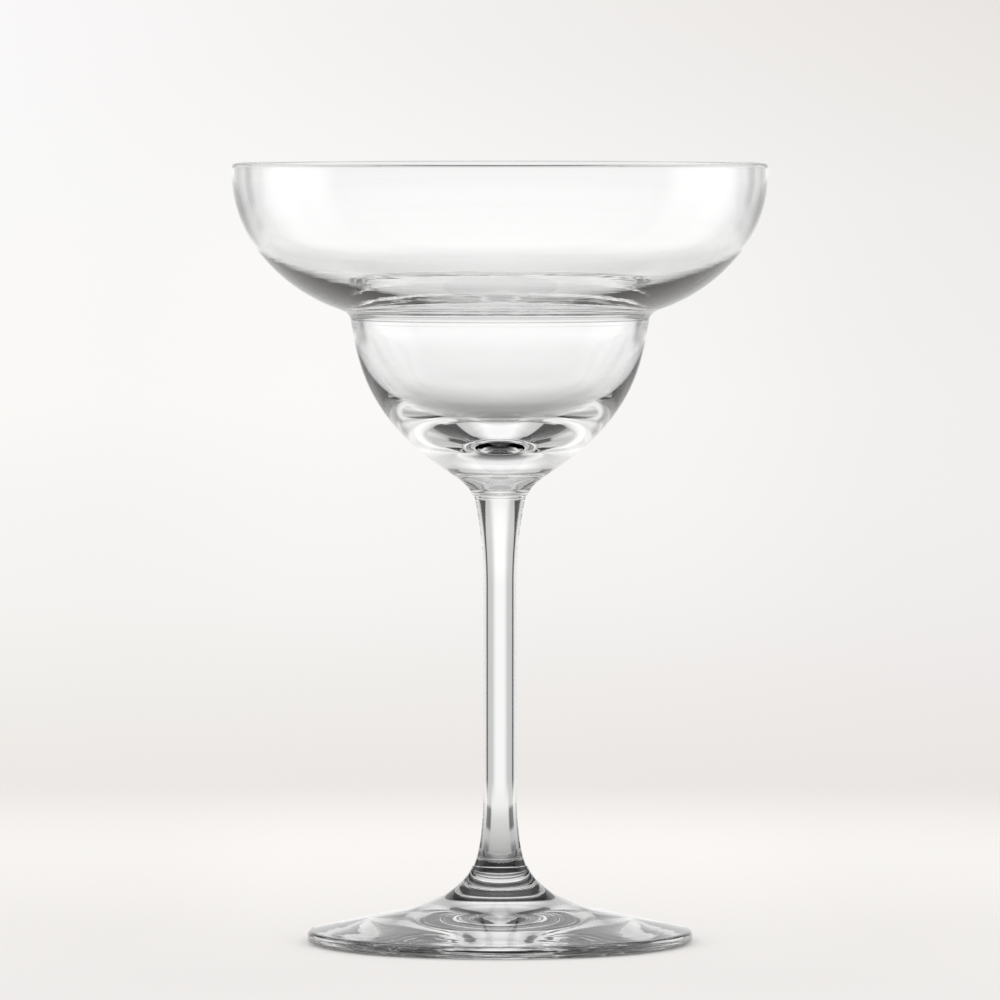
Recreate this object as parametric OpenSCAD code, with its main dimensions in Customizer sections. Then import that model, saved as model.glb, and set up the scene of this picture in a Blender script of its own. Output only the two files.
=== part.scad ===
// Stepped margarita glass: a wide shallow dish over a small round cup, on a drawn stem and a round foot.
// Millimetres, +Z up, origin on the table at the middle of the foot.
// Three pieces of clear glass are formed apart and fused end to end: the bowl, the stem and the foot.

/* [Heights] */
// Height of the foot, from the table to the seam with the stem
foot_h = 17; // [15:0.1:20]
// Length of the stem between its two seams
stem_l = 81.8; // [60:0.1:110]
// Height of the cup, from the seam with the stem to the step below the dish
cup_h = 38.4; // [34:0.1:46]
// Height of the dish, from the step to the rim
dish_h = 34.8; // [30:0.1:42]

/* [Dish] */
// Outer width of the rim
rim_d = 118; // [104:0.5:130]
// Glass thickness at the rim
rim_wall = 1.6; // [1.2:0.1:2.2]
// Upright band of the wall below the rim
rim_band = 2.4; // [1.6:0.1:4]
// Upright thickness of the dish floor, above the top of the step
floor_wall = 2; // [1.6:0.1:2.6]
// How far the dish overhangs the cup at the step
step_w = 1.6; // [1:0.1:3]
// Height of the concave fillet in the step, outside
step_fillet_h = 2.2; // [1.2:0.1:3]

/* [Cup] */
// Outer width of the cup just below the step
cup_d = 65.8; // [58:0.2:74]
// Glass thickness at the top of the cup's wall
cup_wall = 1.7; // [1.4:0.1:2.6]
// How far the rounded lip between dish and cup stands in from the cup's wall
lip_in = 0.4; // [0.2:0.1:1]
// Height of that rounded lip
lip_h = 1.2; // [1:0.1:2]
// Solid glass between the seam and the inside bottom of the cup
pad_h = 11.9; // [9:0.1:16]
// Height above the seam at which the cup's underside turns from bulging out to curving in
neck_h = 6; // [4.5:0.1:8]
// Width of the cup at that turn
neck_d = 25.4; // [20:0.2:30]

/* [Stem] */
// Width of the stem's straight middle
stem_d = 7.2; // [6:0.1:10]
// Width of the stem at the seam with the bowl
stem_top_d = 11.5; // [10.4:0.1:13]
// Length of the stem's flare up to the bowl
top_flare_l = 20; // [14:0.5:26]
// Width of the stem at the seam with the foot
stem_base_d = 11.6; // [10.6:0.1:13]
// Length of the stem's flare down to the foot
base_flare_l = 19; // [14:0.5:26]

/* [Seams] */
// How far the flat ends of the bowl and the foot stand proud of the stem
seam_step = 0.1; // [0.05:0.05:0.4]
// Rounded edge of the bowl's end, above the seam
bowl_end_round = 0.4; // [0.2:0.1:0.8]
// Rounded edge of the foot's end, below the seam
foot_end_round = 0.2; // [0.1:0.1:0.5]

/* [Foot] */
// Width of the foot
foot_d = 85; // [76:0.5:96]
// Thickness of the foot at its edge
edge_h = 2.9; // [2:0.1:3.5]
// Width of the foot's steep neck, where it runs out into the flat cone
foot_neck_d = 40.6; // [36:0.2:46]
// Rise of the flat cone from the edge to the steep neck
cone_rise = 4.5; // [3.6:0.1:6]
// Width of the flat ring that touches the table
ring_w = 4.2; // [2:0.1:6]
// Height of the shallow hollow under the foot
hollow_h = 2.4; // [1:0.1:2.8]

/* [Hidden] */
$fn = 128;

// Points on each long curved stretch of an outline, and on each small rounding
curve_steps = 14;
round_steps = 5;

bowl_glass = [0.86, 0.90, 0.90, 0.55];
stem_glass = [0.78, 0.84, 0.86, 0.6];
foot_glass = [0.72, 0.80, 0.83, 0.6];

seam_z = foot_h + stem_l;
step_z = seam_z + cup_h;
rim_z = step_z + dish_h;

// Where the two handles of each curved stretch lie, as shares of its width and its height
neck_shares = [[0.24, 0.5], [0.52, 0.62]];
cup_out_shares = [[0.888, 0.389], [0.921, 0.755]];
step_shares = [[0, 0.35], [0.3, 0.8]];
dish_out_shares = [[0.6, 0.164], [1, 0.56]];
dish_in_shares = [[0, 0.518], [0.285, 0.799]];
lip_top_shares = [[0.7, 0.06], [1, 0.5]];
lip_low_shares = [[0, 0.11], [1, 0.62]];
cup_in_shares = [[0.03, 0.67], [0.46, 1]];
top_flare_shares = [[0, 0.35], [0.33, 0.68]];
base_flare_shares = [[0.67, 0.17], [1, 0.5]];
foot_neck_shares = [[0.64, 0.235], [0.924, 0.72]];
hollow_shares = [[0.3, 0], [0.82, 1]];
// Where the rounded lip stands furthest in, as a share of its height
lip_turn_share = 0.7;
// Rounding of the foot's edge, as a share of its thickness
edge_round_share = 0.42;

rim_r = rim_d / 2;
rim_in_r = rim_r - rim_wall;
rim_round = rim_wall / 2;
band_z = rim_z - rim_band;
// The dish's underside ends where the step's fillet begins
step_r = cup_d / 2 + step_w;
step_top_z = step_z + step_fillet_h;
// Inside of the cup at its widest, and at the rounded lip
cup_in_r = cup_d / 2 - cup_wall;
lip_r = cup_in_r - lip_in;
lip_top_r = lip_r + lip_in / 2;
// The dish floor slopes on down from above the step to the lip, by this share of the dish's height
floor_fall_share = (step_r - lip_top_r) / (rim_in_r - lip_top_r)
    * (1 - dish_in_shares[1].y) / (1 - dish_in_shares[1].x);
lip_top_z = (step_top_z + floor_wall - floor_fall_share * band_z) / (1 - floor_fall_share);
lip_turn_z = lip_top_z - lip_turn_share * lip_h;
cup_wide_z = lip_top_z - lip_h;
// Flat ends that meet the stem
bowl_end_r = stem_top_d / 2 + seam_step;
foot_end_r = stem_base_d / 2 + seam_step;
edge_round = edge_round_share * edge_h;
ring_r = foot_d / 2 - edge_round;

// One point of a cubic curve from a to b, at t from 0 to 1
function cubic(a, b, shares, t) =
    let (
        p = [a.x + (b.x - a.x) * shares[0].x, a.y + (b.y - a.y) * shares[0].y],
        q = [a.x + (b.x - a.x) * shares[1].x, a.y + (b.y - a.y) * shares[1].y],
        s = 1 - t
    )
    s * s * s * a + 3 * s * s * t * p + 3 * s * t * t * q + t * t * t * b;

// The points of that curve after its first one
function curve(a, b, shares, steps = curve_steps) =
    [for (i = [1 : steps]) cubic(a, b, shares, i / steps)];

// An arc about centre c, from angle a0 to angle a1, both ends included
function arc(c, r, a0, a1, steps = round_steps) =
    [for (i = [0 : steps]) let (a = a0 + (a1 - a0) * i / steps) c + r * [cos(a), sin(a)]];

// Outline of the bowl, from the middle of the seam up the outside, over the rim and down the inside
function bowl_outline() =
    let (
        end_edge = [bowl_end_r + bowl_end_round, seam_z + bowl_end_round],
        neck = [neck_d / 2, seam_z + neck_h],
        cup_top = [cup_d / 2, step_z],
        step_top = [step_r, step_top_z],
        band = [rim_r, band_z],
        band_in = [rim_in_r, band_z],
        floor_edge = [lip_top_r, lip_top_z],
        lip = [lip_r, lip_turn_z],
        cup_wide = [cup_in_r, cup_wide_z],
        bottom = [0, seam_z + pad_h]
    )
    concat(
        [[0, seam_z]],
        arc([bowl_end_r, end_edge.y], bowl_end_round, -90, 0),
        curve(end_edge, neck, neck_shares),
        curve(neck, cup_top, cup_out_shares),
        curve(cup_top, step_top, step_shares, round_steps),
        curve(step_top, band, dish_out_shares),
        arc([rim_r - rim_round, rim_z - rim_round], rim_round, 0, 180, 2 * round_steps),
        [band_in],
        curve(band_in, floor_edge, dish_in_shares),
        curve(floor_edge, lip, lip_top_shares, round_steps),
        curve(lip, cup_wide, lip_low_shares, round_steps),
        curve(cup_wide, bottom, cup_in_shares)
    );

// Outline of the stem, from the seam with the foot to the seam with the bowl
function stem_outline() =
    let (
        base = [stem_base_d / 2, foot_h],
        base_end = [stem_d / 2, foot_h + base_flare_l],
        top_end = [stem_d / 2, seam_z - top_flare_l],
        top = [stem_top_d / 2, seam_z]
    )
    concat(
        [[0, foot_h], base],
        curve(base, base_end, base_flare_shares),
        [top_end],
        curve(top_end, top, top_flare_shares),
        [[0, seam_z]]
    );

// Outline of the foot, from the middle of its hollow out to the edge and up to the seam
function foot_outline() =
    let (
        hollow_top = [0, hollow_h],
        ring_in = [ring_r - ring_w, 0],
        cone_top = [foot_neck_d / 2, edge_h + cone_rise],
        end_edge = [foot_end_r + foot_end_round, foot_h - foot_end_round]
    )
    concat(
        [hollow_top],
        curve(hollow_top, ring_in, hollow_shares),
        arc([ring_r, edge_round], edge_round, -90, 0),
        arc([ring_r, edge_h - edge_round], edge_round, 0, 90),
        [cone_top],
        curve(cone_top, end_edge, foot_neck_shares),
        arc([foot_end_r, end_edge.y], foot_end_round, 0, 90),
        [[0, foot_h]]
    );

// The bowl: dish, step and cup blown as one piece, with a solid pad of glass below the cup
module bowl() {
    color(bowl_glass) rotate_extrude() polygon(bowl_outline());
}

// The solid stem, flared at both ends
module stem() {
    color(stem_glass) rotate_extrude() polygon(stem_outline());
}

// The foot: a steep neck, a flat cone, a rounded edge and a shallow hollow underneath
module foot() {
    color(foot_glass) rotate_extrude() polygon(foot_outline());
}

bowl();
stem();
foot();
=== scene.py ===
import math

import bmesh
import bpy
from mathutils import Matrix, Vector


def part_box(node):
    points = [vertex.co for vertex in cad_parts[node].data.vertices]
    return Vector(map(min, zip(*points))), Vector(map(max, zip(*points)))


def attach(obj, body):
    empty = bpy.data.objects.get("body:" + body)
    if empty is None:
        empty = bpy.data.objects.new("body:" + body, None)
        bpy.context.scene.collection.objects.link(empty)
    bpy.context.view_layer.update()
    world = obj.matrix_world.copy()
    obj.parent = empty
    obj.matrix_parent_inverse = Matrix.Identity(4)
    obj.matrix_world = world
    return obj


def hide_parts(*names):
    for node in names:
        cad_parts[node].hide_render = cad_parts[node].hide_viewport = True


# A stepped margarita glass in clear, fire-polished glass: bowl, stem and foot, fused at two seams.
# Everything is in metres, +Z up, and the foot stands on z = 0.

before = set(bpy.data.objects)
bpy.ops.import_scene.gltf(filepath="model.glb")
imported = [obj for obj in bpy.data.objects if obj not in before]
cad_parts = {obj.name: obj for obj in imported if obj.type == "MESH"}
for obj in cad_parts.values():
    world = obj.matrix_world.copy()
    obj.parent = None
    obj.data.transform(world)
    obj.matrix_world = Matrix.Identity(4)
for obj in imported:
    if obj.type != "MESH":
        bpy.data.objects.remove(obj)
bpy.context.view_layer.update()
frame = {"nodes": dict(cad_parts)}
scene = bpy.context.scene
print("frame loaded:", ", ".join(frame["nodes"]))

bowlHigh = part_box("bowl")[1]
stemLow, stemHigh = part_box("stem")
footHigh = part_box("foot")[1]
lowerSeam, upperSeam = stemLow.z, stemHigh.z


# Shader nodes

mixSockets = {"first": 6, "second": 7, "result": 2}  # of a Mix node that mixes colours


class Wire:  # one socket of a node tree, with the arithmetic that the shaders need
    def __init__(self, tree, socket=None):
        self.tree = tree
        self.socket = socket

    def node(self, kind, settings=None, sockets=None, output=0):
        made = self.tree.nodes.new(kind)
        for name, value in (settings or {}).items():
            if name == "stops":  # of a colour ramp, as (place, grey or colour)
                elements = made.color_ramp.elements
                elements[0].position, elements[1].position = value[0][0], value[-1][0]
                for place, _ in value[1:-1]:
                    elements.new(place)
                for element, (_, shade) in zip(elements, value):
                    element.color = (*(shade if isinstance(shade, tuple) else (shade,) * 3), 1)
            else:
                setattr(made, name, value)
        for name, value in (sockets or {}).items():
            if isinstance(value, Wire):
                self.tree.links.new(value.socket, made.inputs[name])
            else:
                made.inputs[name].default_value = value
        return Wire(self.tree, made.outputs[output]) if made.outputs else made

    def output(self, name):  # another output of the same node
        return Wire(self.tree, self.socket.node.outputs[name])

    def math(self, operation, *others):
        return self.node("ShaderNodeMath", {"operation": operation}, dict(enumerate((self, *others))))

    def between(self, low, high):  # 0 below low, 1 above high, smooth in between
        return self.node(
            "ShaderNodeMapRange",
            {"interpolation_type": "SMOOTHSTEP"},
            {"Value": self, "From Min": low, "From Max": high},
        )

    def ramp(self, stops):  # the stops' places are in this value's own unit
        low, high = stops[0][0], stops[-1][0]
        places = [((place - low) / (high - low), shade) for place, shade in stops]
        return self.node("ShaderNodeValToRGB", {"stops": places}, {"Fac": (self - low) / (high - low)})

    def mix(self, first, second):  # two colours, with this value as the factor
        sockets = {"Factor": self, mixSockets["first"]: first, mixSockets["second"]: second}
        return self.node("ShaderNodeMix", {"data_type": "RGBA"}, sockets, mixSockets["result"])

    def times(self, colour):  # a colour made paler or darker by this value
        return self.node("ShaderNodeVectorMath", {"operation": "SCALE"}, {"Vector": colour, "Scale": self})

    def __add__(self, other):
        return self.math("ADD", other)

    def __sub__(self, other):
        return self.math("SUBTRACT", other)

    def __rsub__(self, other):
        return self.node("ShaderNodeMath", {"operation": "SUBTRACT"}, {0: other, 1: self})

    def __mul__(self, other):
        return self.math("MULTIPLY", other)

    def __truediv__(self, other):
        return self.math("DIVIDE", other)

    __radd__ = __add__
    __rmul__ = __mul__


def newTree(block):
    block.use_nodes = True
    block.node_tree.nodes.clear()
    return Wire(block.node_tree)


# Camera

cameraSetup = {
    "distance": 2.035,  # from the glass's axis
    "height": 0.1873,  # just above the rim
    "pitch": 2.52,  # degrees below level
    "lens": 332.8,
    "sensor": 36,
    "clip": (0.1, 50),
}


def makeCamera(setup):
    data = bpy.data.cameras.new("camera")
    data.sensor_width = setup["sensor"]
    data.lens = setup["lens"]
    data.clip_start, data.clip_end = setup["clip"]
    camera = bpy.data.objects.new("camera", data)
    camera.location = (0, -setup["distance"], setup["height"])
    camera.rotation_euler = (math.radians(90 - setup["pitch"]), 0, 0)
    scene.collection.objects.link(camera)
    scene.camera = camera


makeCamera(cameraSetup)
print("camera placed")


# Glass

glassLook = {
    "tint": (0.985, 0.99, 0.987, 1),
    "ior": 1.52,
    "haze": 0.002,  # roughness where the skin is haziest
    "hazeScale": 90,  # patches of haze per metre
    "hazeFrom": (0.45, 0.75),
    "waveScale": 38,  # waves of the fire-polished skin, per metre
    "waveHeight": 0.00001,
    "waveStrength": 0.3,
}

wallRipples = {  # fine rings in the underside of the dish
    "around": 3,  # how much a ring changes on its way round
    "perHeight": 1400,  # rings per metre of height
    "perRadius": 0,  # and of radius
    "starts": (0.034, 0.0345),  # they start between these radii
    "stops": (0.15, 0.156),  # and stop between these heights
    "height": 0.00001,
}

edgeRipples = {  # rings pressed into the foot's edge
    "around": 2.2,
    "perHeight": 2200,
    "perRadius": 260,
    "starts": (0.026, 0.038),
    "stops": (0.008, 0.012),
    "height": 0.00009,
}


def ringBump(place, ripples):
    x = place.node("ShaderNodeSeparateXYZ", {}, {"Vector": place})
    y, z = x.output("Y"), x.output("Z")
    radius = (x * x + y * y).math("SQRT")
    rings = place.node(
        "ShaderNodeCombineXYZ",
        {},
        {
            "X": x / radius * ripples["around"],
            "Y": y / radius * ripples["around"],
            "Z": z * ripples["perHeight"] + radius * ripples["perRadius"],
        },
    )
    ridges = place.node(
        "ShaderNodeTexNoise", {}, {"Vector": rings, "Scale": 1, "Detail": 2, "Roughness": 0.5}
    )
    where = radius.between(*ripples["starts"]) * (1 - z.between(*ripples["stops"]))
    return place.node(
        "ShaderNodeBump", {}, {"Height": ridges * where, "Strength": 1, "Distance": ripples["height"]}
    )


def glassMaterial(name, look, ripples):
    material = bpy.data.materials.new(name)
    wire = newTree(material)
    place = wire.node("ShaderNodeTexCoord", output="Object")
    haze = wire.node("ShaderNodeTexNoise", {}, {"Vector": place, "Scale": look["hazeScale"], "Detail": 3})
    waves = wire.node("ShaderNodeTexNoise", {}, {"Vector": place, "Scale": look["waveScale"], "Detail": 1.5})
    bump = wire.node(
        "ShaderNodeBump",
        {},
        {
            "Height": waves,
            "Strength": look["waveStrength"],
            "Distance": look["waveHeight"],
            "Normal": ringBump(place, ripples),
        },
    )
    shader = wire.node(
        "ShaderNodeBsdfPrincipled",
        {},
        {
            "Base Color": look["tint"],
            "IOR": look["ior"],
            "Transmission Weight": 1,
            "Roughness": haze.between(*look["hazeFrom"]) * look["haze"],
            "Normal": bump,
        },
    )
    wire.node("ShaderNodeOutputMaterial", {}, {"Surface": shader})
    return material


def seamMaterial():  # where two pieces are fused, light passes straight on
    material = bpy.data.materials.new("fusedSeam")
    wire = newTree(material)
    shader = wire.node("ShaderNodeBsdfTransparent")
    wire.node("ShaderNodeOutputMaterial", {}, {"Surface": shader})
    return material


clearGlass = glassMaterial("clearGlass", glassLook, wallRipples)
footGlass = glassMaterial("footGlass", glassLook, edgeRipples)
fusedSeam = seamMaterial()
print("glass made")


# Turned pieces

weld = 1e-6  # points nearer than this become one
seamReach = 1e-5  # a face this near to a seam's height lies in it

straight = ((1 / 3, 1 / 3), (2 / 3, 2 / 3))
quarterOut = ((0.5523, 0), (1, 0.4477))  # a round corner that sets out sideways
quarterUp = ((0, 0.5523), (0.4477, 1))  # and one that sets out upwards


def addStretch(curve, start, end, shares, steps):  # one curved stretch of an outline, with its two handles
    spline = curve.splines.new("BEZIER")
    spline.bezier_points.add(1)
    spline.resolution_u = steps
    a, b = Vector((start[0], 0, start[1])), Vector((end[0], 0, end[1]))
    handles = [a + Vector(((b - a).x * x, 0, (b - a).z * z)) for x, z in shares]
    first, last = spline.bezier_points
    first.co, last.co = a, b
    first.handle_left, first.handle_right = a, handles[0]
    last.handle_left, last.handle_right = handles[1], b


def turn(name, points, curves, turns, seams, seamRadius, glass):
    data = bpy.data.curves.new(name + "Outline", "CURVE")
    data.dimensions = "3D"
    for start, end, (shares, steps) in zip(points, points[1:], curves):
        addStretch(data, start, end, shares, steps)
    outline = bpy.data.objects.new(name + "Outline", data)
    bm = bmesh.new()
    bm.from_mesh(outline.to_mesh())
    outline.to_mesh_clear()
    bpy.data.objects.remove(outline)
    bpy.data.curves.remove(data)
    bmesh.ops.remove_doubles(bm, verts=bm.verts, dist=weld)
    bmesh.ops.spin(
        bm, geom=bm.verts[:] + bm.edges[:], cent=(0, 0, 0), axis=(0, 0, 1), dvec=(0, 0, 0),
        angle=math.tau, steps=turns, use_merge=True, use_duplicate=False,
    )
    bmesh.ops.remove_doubles(bm, verts=bm.verts, dist=weld)
    bmesh.ops.recalc_face_normals(bm, faces=bm.faces)
    for face in bm.faces:
        middle = face.calc_center_median()
        fused = any(abs(middle.z - z) < seamReach for z in seams) and middle.xy.length < seamRadius
        face.smooth = not fused
        face.material_index = int(fused)
    mesh = bpy.data.meshes.new(name)
    bm.to_mesh(mesh)
    bm.free()
    mesh.materials.append(glass)
    mesh.materials.append(fusedSeam)
    piece = bpy.data.objects.new(name, mesh)
    scene.collection.objects.link(piece)
    return piece


def addPiece(piece, node):
    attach(piece, "root")
    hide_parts(node)
    print(node, "made:", len(piece.data.polygons), "faces")


# Stem

stemSizes = {
    "radius": 0.0036,
    "topRadius": 0.00575,  # at the seam with the bowl
    "topFlare": 0.02,  # length of the flare there
    "baseRadius": 0.0058,  # at the seam with the foot
    "baseFlare": 0.019,
    "turns": 160,
    "baseCurve": (((0.67, 0.17), (1, 0.5)), 48),  # handles as shares, then steps
    "topCurve": (((0, 0.35), (0.33, 0.68)), 48),
}


def makeStem(sizes):
    points = (
        (0, lowerSeam),
        (sizes["baseRadius"], lowerSeam),
        (sizes["radius"], lowerSeam + sizes["baseFlare"]),
        (sizes["radius"], upperSeam - sizes["topFlare"]),
        (sizes["topRadius"], upperSeam),
        (0, upperSeam),
    )
    curves = ((straight, 2), sizes["baseCurve"], (straight, 24), sizes["topCurve"], (straight, 2))
    seams = (lowerSeam, upperSeam)
    return turn("stem", points, curves, sizes["turns"], seams, sizes["baseRadius"], clearGlass)


# Bowl

bowlSizes = {
    "dishHeight": 0.0348,
    "rimWall": 0.0016,
    "rimBand": 0.0024,  # upright band of the wall below the rim
    "floorWall": 0.002,  # of the dish floor, above the step
    "cupRadius": 0.0329,
    "cupWall": 0.0017,
    "stepOut": 0.0016,  # how far the dish overhangs the cup
    "stepFillet": 0.0022,
    "lipIn": 0.0004,  # how far the lip stands in from the cup's wall
    "lipHeight": 0.0012,
    "lipTurn": 0.00084,  # how far below its top it stands furthest in
    "pad": 0.0119,  # solid glass below the cup
    "neckRadius": 0.0127,
    "neckHeight": 0.006,
    "endRound": 0.0004,
    "seamStep": 0.0001,  # how far the flat end stands proud of the stem
    "turns": 240,
    "neckCurve": (((0.24, 0.5), (0.52, 0.62)), 24),
    "cupCurve": (((0.888, 0.389), (0.921, 0.755)), 48),
    "stepCurve": (((0, 0.35), (0.3, 0.8)), 10),
    "dishCurve": (((0.6, 0.164), (1, 0.56)), 56),
    "dishInCurve": (((0, 0.518), (0.285, 0.799)), 56),
    "lipCurve": (((0.7, 0.06), (1, 0.5)), 14),
    "underLipCurve": (((0, 0.11), (1, 0.62)), 14),
    "cupInCurve": (((0.03, 0.67), (0.46, 1)), 48),
}


def lipTopHeight(sizes, step, bandHeight, lipOut):  # where the slope of the dish floor ends, inside the step
    outer = sizes["cupRadius"] + sizes["stepOut"]
    inner = bowlHigh.x - sizes["rimWall"]
    shareX, shareZ = sizes["dishInCurve"][0][1]
    fall = (outer - lipOut) / (inner - lipOut) * (1 - shareZ) / (1 - shareX)
    floorHeight = step + sizes["stepFillet"] + sizes["floorWall"]
    return (floorHeight - fall * bandHeight) / (1 - fall)


def makeBowl(sizes):
    rim, top = bowlHigh.x, bowlHigh.z
    rimRound = sizes["rimWall"] / 2
    band = top - sizes["rimBand"]
    step = top - sizes["dishHeight"]
    cup = sizes["cupRadius"]
    cupIn = cup - sizes["cupWall"]
    lip = cupIn - sizes["lipIn"]
    lipOut = lip + sizes["lipIn"] / 2
    lipTop = lipTopHeight(sizes, step, band, lipOut)
    stemRadius = stemSizes["topRadius"]
    end = stemRadius + sizes["seamStep"]
    endRound = sizes["endRound"]
    points = (
        (0, upperSeam),
        (stemRadius, upperSeam),
        (end, upperSeam),
        (end + endRound, upperSeam + endRound),
        (sizes["neckRadius"], upperSeam + sizes["neckHeight"]),
        (cup, step),
        (cup + sizes["stepOut"], step + sizes["stepFillet"]),
        (rim, band),
        (rim, top - rimRound),
        (rim - rimRound, top),
        (rim - 2 * rimRound, top - rimRound),
        (rim - 2 * rimRound, band),
        (lipOut, lipTop),
        (lip, lipTop - sizes["lipTurn"]),
        (cupIn, lipTop - sizes["lipHeight"]),
        (0, upperSeam + sizes["pad"]),
    )
    curves = (
        (straight, 2),
        (straight, 1),
        (quarterOut, 5),
        sizes["neckCurve"],
        sizes["cupCurve"],
        sizes["stepCurve"],
        sizes["dishCurve"],
        (straight, 3),
        (quarterUp, 7),
        (quarterOut, 7),
        (straight, 3),
        sizes["dishInCurve"],
        sizes["lipCurve"],
        sizes["underLipCurve"],
        sizes["cupInCurve"],
    )
    return turn("bowl", points, curves, sizes["turns"], (upperSeam,), stemRadius, clearGlass)


# Foot

footSizes = {
    "hollow": 0.0024,  # height of the shallow hollow underneath
    "ring": 0.0042,  # width of the flat ring that touches the table
    "edge": 0.0029,
    "edgeRound": 0.001218,
    "coneRise": 0.0045,  # of the flat cone, from the edge to the steep neck
    "neckRadius": 0.0203,
    "endRound": 0.0002,
    "seamStep": 0.0001,
    "turns": 240,
    "hollowCurve": (((0.3, 0), (0.82, 1)), 64),
    "neckCurve": (((0.64, 0.235), (0.924, 0.72)), 64),
}


def makeFoot(sizes):
    rim = footHigh.x
    edgeRound, endRound = sizes["edgeRound"], sizes["endRound"]
    ring = rim - edgeRound
    stemRadius = stemSizes["baseRadius"]
    end = stemRadius + sizes["seamStep"]
    points = (
        (0, sizes["hollow"]),
        (ring - sizes["ring"], 0),
        (ring, 0),
        (rim, edgeRound),
        (rim, sizes["edge"] - edgeRound),
        (ring, sizes["edge"]),
        (sizes["neckRadius"], sizes["edge"] + sizes["coneRise"]),
        (end + endRound, lowerSeam - endRound),
        (end, lowerSeam),
        (stemRadius, lowerSeam),
        (0, lowerSeam),
    )
    curves = (
        sizes["hollowCurve"],
        (straight, 4),
        (quarterOut, 8),
        (straight, 1),
        (quarterUp, 8),
        (straight, 48),
        sizes["neckCurve"],
        (quarterUp, 4),
        (straight, 1),
        (straight, 2),
    )
    return turn("foot", points, curves, sizes["turns"], (lowerSeam,), stemRadius, footGlass)


addPiece(makeBowl(bowlSizes), "bowl")
addPiece(makeStem(stemSizes), "stem")
addPiece(makeFoot(footSizes), "foot")


# Floor, a matt pale table, with painted shade towards the front and a painted pool of light behind the
# glass. What glass shows of it is painted light and shade, an emission that is paler or darker by the
# distance from the glass's axis.

floorLook = {
    "radius": 0.5,
    "fade": 0.28,  # over which it runs out into the backdrop
    "gap": 0.00002,  # below the foot
    # painted shade: the floor is darker at the front than at the back
    "front": (0.895, 0.878, 0.866, 1),
    "back": (0.945, 0.925, 0.905, 1),
    "frontToBack": (-0.16, 0.32),
    "glow": 0.027,  # painted light: a little paler around the glass
    "glowAside": (0.05, 0.09),
    "glowFrom": (-0.09, 0),
    "seen": (0.97, 0.965, 0.96),  # what glass sees, in all places: painted light, as the floor glows for it
    "clear": (  # through one wall, by distance, with a painted contact shadow in a ring just outside the foot
        (0, 0.86), (0.04, 0.86), (0.046, 0.65), (0.052, 0.42), (0.061, 0.48), (0.08, 0.56), (0.109, 0.64),
        (0.14, 0.7), (0.173, 0.75), (0.25, 0.95),
    ),
    "aside": (  # and painted shade, how much darker to either side behind the glass, by distance
        (0, 0), (0.04, 0), (0.047, 0.65), (0.06, 0.5), (0.08, 0.1), (0.11, 0.1), (0.13, 0.75), (0.22, 0.75),
        (0.25, 0.3),
    ),
    "asideStarts": (0.33, 0.42),  # sine of the angle from straight behind
    "asideStops": (0.6, 0.68),
    "softBehind": (0, 0.01),
    "deep": (2.2, 3),  # past this many bounces, light has come a long way through glass, and this holds:
    "steep": (  # painted sheen of the table: dark from above, pale at a grazing angle
        (0, 0), (0.094, 0.05), (0.181, 0.13), (0.293, 0.32), (0.412, 0.45), (0.53, 0.58), (0.609, 0.64),
        (0.708, 0.76), (0.792, 0.87), (0.896, 0.95), (1, 1),
    ),
    "near": (  # painted shadow under the foot: darker towards the middle of the foot, by distance
        (0, 0), (0.008, 0), (0.014, 0.04), (0.022, 0.1), (0.035, 0.16), (0.05, 0.18), (0.07, 0.4),
        (0.134, 0.6), (0.2, 0.72), (0.25, 1),
    ),
    "far": (0.09, 0.16),  # pale again this far out
    "farLevel": 0.93,
    "behind": (  # but less so straight behind the glass, by distance: painted shade there
        (0, 0.22), (0.1, 0.26), (0.157, 0.33), (0.203, 0.43), (0.255, 0.51), (0.315, 0.58), (0.36, 0.7),
        (0.45, 0.9), (0.5, 1),
    ),
    "behindSpread": (0.92, 0.985),  # cosine of the angle from straight behind
}


def seenFloor(wire, look, x, y, reach):  # how pale glass sees the floor, as painted light and shade
    deep = wire.output("Ray Depth").between(*look["deep"])
    facing = wire.node("ShaderNodeLayerWeight", {}, {"Blend": 0.5}, "Facing")
    sideways = x.math("ABSOLUTE") / reach
    aside = sideways.between(*look["asideStarts"]) * (1 - sideways.between(*look["asideStops"]))
    aside = aside * y.between(*look["softBehind"]) * reach.ramp(look["aside"])
    clear = reach.ramp(look["clear"]) * (1 - aside)
    behind = (1 - reach.ramp(look["behind"])) * (y / reach).between(*look["behindSpread"])
    far = reach.between(*look["far"]) * (1 - behind) * look["farLevel"]
    near = facing.ramp(look["steep"]) * reach.ramp(look["near"])
    return deep * far.math("MAXIMUM", near) + (1 - deep) * clear


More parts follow.
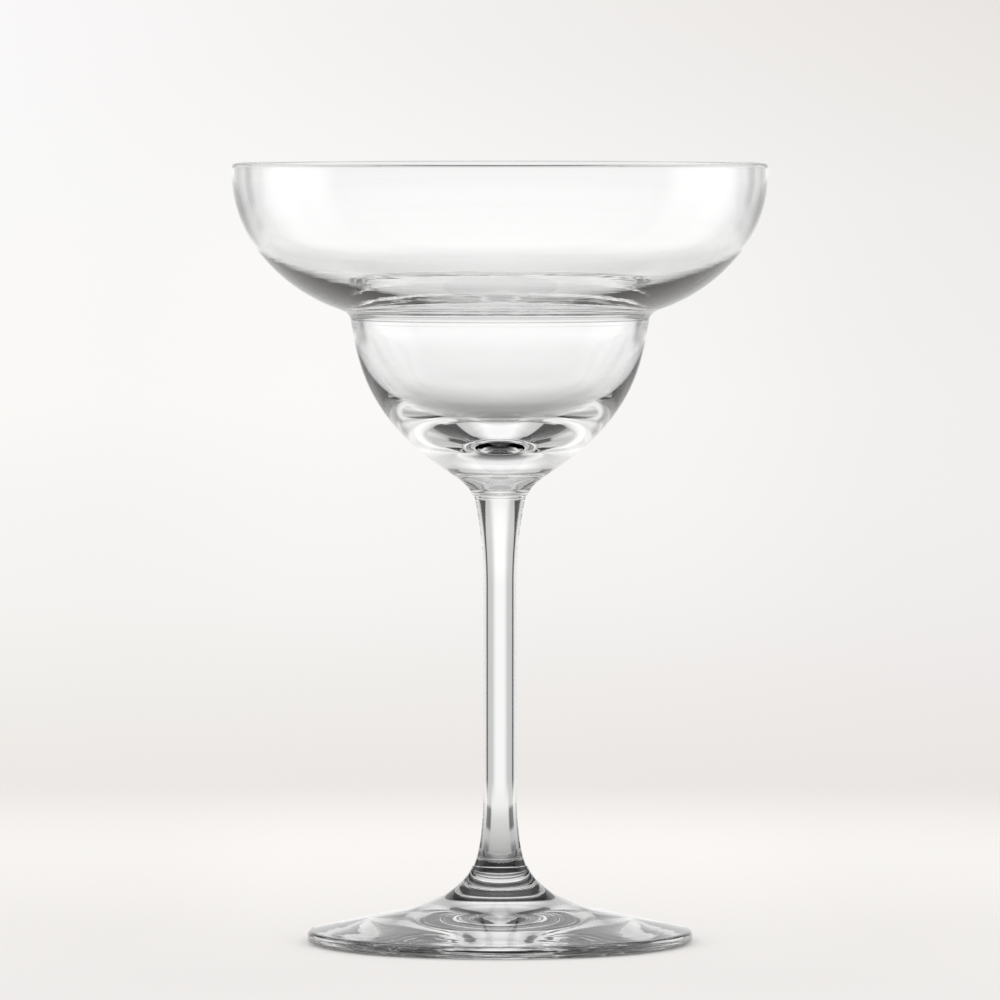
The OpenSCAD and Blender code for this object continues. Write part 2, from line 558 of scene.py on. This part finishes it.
def makeFloor(look):
    bm = bmesh.new()
    bmesh.ops.create_circle(bm, cap_ends=True, segments=128, radius=look["radius"])
    mesh = bpy.data.meshes.new("floor")
    bm.to_mesh(mesh)
    bm.free()
    floor = bpy.data.objects.new("floor", mesh)
    floor.location.z = -look["gap"]
    scene.collection.objects.link(floor)
    material = bpy.data.materials.new("paleFloor")
    wire = newTree(material)
    spot = wire.node("ShaderNodeTexCoord", output="Object")
    x = wire.node("ShaderNodeSeparateXYZ", {}, {"Vector": spot})
    y = x.output("Y")
    reach = wire.node("ShaderNodeVectorMath", {"operation": "LENGTH"}, {"Vector": spot}, "Value")
    # painted light: a pool of light on the floor, in a strip behind the glass
    glow = (1 - x.math("ABSOLUTE").between(*look["glowAside"])) * y.between(*look["glowFrom"])
    # painted shade: darker towards the front
    plain = y.between(*look["frontToBack"]).mix(look["front"], look["back"])
    matt = wire.node("ShaderNodeBsdfDiffuse", {}, {"Color": (1 + glow * look["glow"]).times(plain)})
    throughGlass = wire.node("ShaderNodeLightPath", output="Is Transmission Ray")
    level = seenFloor(throughGlass, look, x, y, reach)
    # painted light: for rays through glass the floor glows at this painted level instead of being lit
    shown = wire.node("ShaderNodeEmission", {}, {"Color": level.times(look["seen"])})
    surface = wire.node("ShaderNodeMixShader", {}, {"Fac": throughGlass, 1: matt, 2: shown})
    beyond = wire.node("ShaderNodeBsdfTransparent")
    edge = reach.between(look["radius"] - look["fade"], look["radius"])
    surface = wire.node("ShaderNodeMixShader", {}, {"Fac": edge, 1: surface, 2: beyond})
    wire.node("ShaderNodeOutputMaterial", {}, {"Surface": surface})
    mesh.materials.append(material)


makeFloor(floorLook)
print("floor made")


# Studio: plain light for the floor, a pale backdrop for the camera with painted shade to the right and along
# the horizon and a painted halo behind the glass, and for glass the walls, lamps and black strips that give
# it its bands. Elevations and directions are in degrees, and directions count from the one straight behind
# the glass.

studio = {
    "plain": (1, 0.995, 0.99, 1),  # what lights the floor
    "left": (  # the backdrop on the left of the picture, by elevation, with painted shade in a band along the horizon
        (-5.5, (0.93, 0.91, 0.89)), (-5, (0.93, 0.91, 0.89)), (-4.3, (0.847, 0.815, 0.791)),
        (-4.1, (0.855, 0.823, 0.799)), (-3.64, (0.871, 0.863, 0.831)), (-3.14, (0.913, 0.896, 0.879)),
        (-2.52, (0.93, 0.913, 0.905)), (-1.9, (0.965, 0.95, 0.93)), (-0.66, (0.955, 0.95, 0.945)),
        (0.6, (0.955, 0.94, 0.942)), (1, (0.955, 0.94, 0.942)),
    ),
    # the backdrop on the right, by elevation: painted shade, darker than the left
    "right": (
        (-5.5, (0.92, 0.9, 0.88)), (-5, (0.92, 0.9, 0.88)), (-4.3, (0.823, 0.791, 0.768)),
        (-4.1, (0.831, 0.799, 0.776)), (-3.64, (0.847, 0.815, 0.807)), (-3.14, (0.863, 0.847, 0.839)),
        (-2.52, (0.88, 0.863, 0.847)), (-1.9, (0.88, 0.863, 0.855)), (-0.66, (0.863, 0.847, 0.831)),
        (0.6, (0.811, 0.783, 0.76)), (1, (0.811, 0.783, 0.76)),
    ),
    "sideTurn": 8,  # how fast left turns to right
    "sideMix": (1.2, 0.5),
    "glow": 0.033,  # painted light: a little paler around the glass
    "glowAside": (0.9, 2.6),
    "glowStarts": (-4.2, -2.6),
    "glowStops": (-1.2, 0.3),
    "seen": (0.965, 0.962, 0.958),  # what glass sees
    "gain": 1.1,
    "above": (  # paler or darker by elevation
        (-90, 0.82), (-14, 0.82), (-10, 0.85), (-6, 0.88), (-3, 0.95), (0, 1), (8, 0.95), (17, 0.69),
        (24, 0.85), (33, 0.57), (44, 0.43), (52, 0.5), (60, 0.53), (75, 0.78), (90, 0.84),
    ),
    "around": (  # and by direction
        (0, 1.02), (10, 1), (20, 0.62), (30, 0.6), (37, 0.53), (46, 0.46), (52, 0.8), (70, 1.2), (77, 0.9),
        (83, 0.9), (93, 0.85), (104, 0.33), (116, 0.7), (180, 0.85),
    ),
    "cameraSide": (  # the unlit room on the camera's side, between the next two elevations
        (0, 1), (95, 1), (105, 0.64), (115, 0.28), (180, 0.24),
    ),
    "roomStarts": (-9, -2),
    "roomStops": (22, 30),
    "stripInner": (37.5, 17, 4, 18),  # edge of the black strip, how far it moves in, between two elevations
    "stripOuter": (44.5, 8, 15, 40),
    "stripStarts": (-17, -12),
    "stripStops": (44, 52),
    "stripEdge": 1.25,
    "stripDark": 0.93,
    "below": 0.95,  # one plain level under these elevations
    "belowFrom": (-14, -8),
}


def backdrop(setup, azimuth, away, height):  # what the camera sees, with painted shade and a painted halo
    slope, middle = setup["sideMix"]
    side = (azimuth * setup["sideTurn"]).math("SINE") * slope + middle
    # painted light: a halo on the backdrop around the glass, just above the horizon
    glow = (
        (1 - away.between(*setup["glowAside"]))
        * height.between(*setup["glowStarts"])
        * (1 - height.between(*setup["glowStops"]))
    )
    # painted shade: darker to the right and in a band along the horizon
    colour = side.mix(height.ramp(setup["left"]), height.ramp(setup["right"]))
    return (1 + glow * setup["glow"]).times(colour)


def strips(setup, away, height):  # 1 in the two black strips
    soft = setup["stripEdge"]
    inner, inwards, innerLow, innerHigh = setup["stripInner"]
    outer, outwards, outerLow, outerHigh = setup["stripOuter"]
    return (
        (away - inner + height.between(innerLow, innerHigh) * inwards).between(-soft, soft)
        * (1 - (away - outer - height.between(outerLow, outerHigh) * outwards).between(-soft, soft))
        * height.between(*setup["stripStarts"])
        * (1 - height.between(*setup["stripStops"]))
    )


def glassLevel(setup, away, height):  # how pale glass sees each direction
    room = height.between(*setup["roomStarts"]) * (1 - height.between(*setup["roomStops"]))
    level = (
        away.ramp(setup["around"])
        * height.ramp(setup["above"])
        * (1 - (1 - away.ramp(setup["cameraSide"])) * room)
        * (1 - strips(setup, away, height) * setup["stripDark"])
        * setup["gain"]
    )
    above = height.between(*setup["belowFrom"])
    return level * above + (1 - above) * setup["below"]


def makeWorld(setup):
    world = bpy.data.worlds.new("studio")
    scene.world = world
    wire = newTree(world)
    direction = wire.node("ShaderNodeTexCoord", output="Generated")
    x = wire.node("ShaderNodeSeparateXYZ", {}, {"Vector": direction})
    azimuth = x.math("ARCTAN2", x.output("Y"))
    away = azimuth.math("ABSOLUTE") * (180 / math.pi)
    height = x.output("Z").math("ARCSINE") * (180 / math.pi)
    toCamera = wire.node("ShaderNodeLightPath", output="Is Camera Ray")
    toGlass = toCamera.output("Is Glossy Ray").math("MAXIMUM", toCamera.output("Is Transmission Ray"))
    seen = glassLevel(setup, away, height).times(setup["seen"])
    shown = toGlass.mix(backdrop(setup, azimuth, away, height), seen)
    colour = toCamera.math("MAXIMUM", toGlass).mix(setup["plain"], shown)
    back = wire.node("ShaderNodeBackground", {}, {"Color": colour})
    wire.node("ShaderNodeOutputWorld", {}, {"Surface": back})


makeWorld(studio)

bounces = 13  # enough for light to find its way out of the solid stem and foot
scene.view_settings.view_transform = "Standard"
scene.cycles.max_bounces = bounces
scene.cycles.glossy_bounces = bounces
scene.cycles.transmission_bounces = bounces
scene.cycles.transparent_max_bounces = bounces
scene.cycles.blur_glossy = 0
scene.cycles.use_denoising = True
print("studio made")
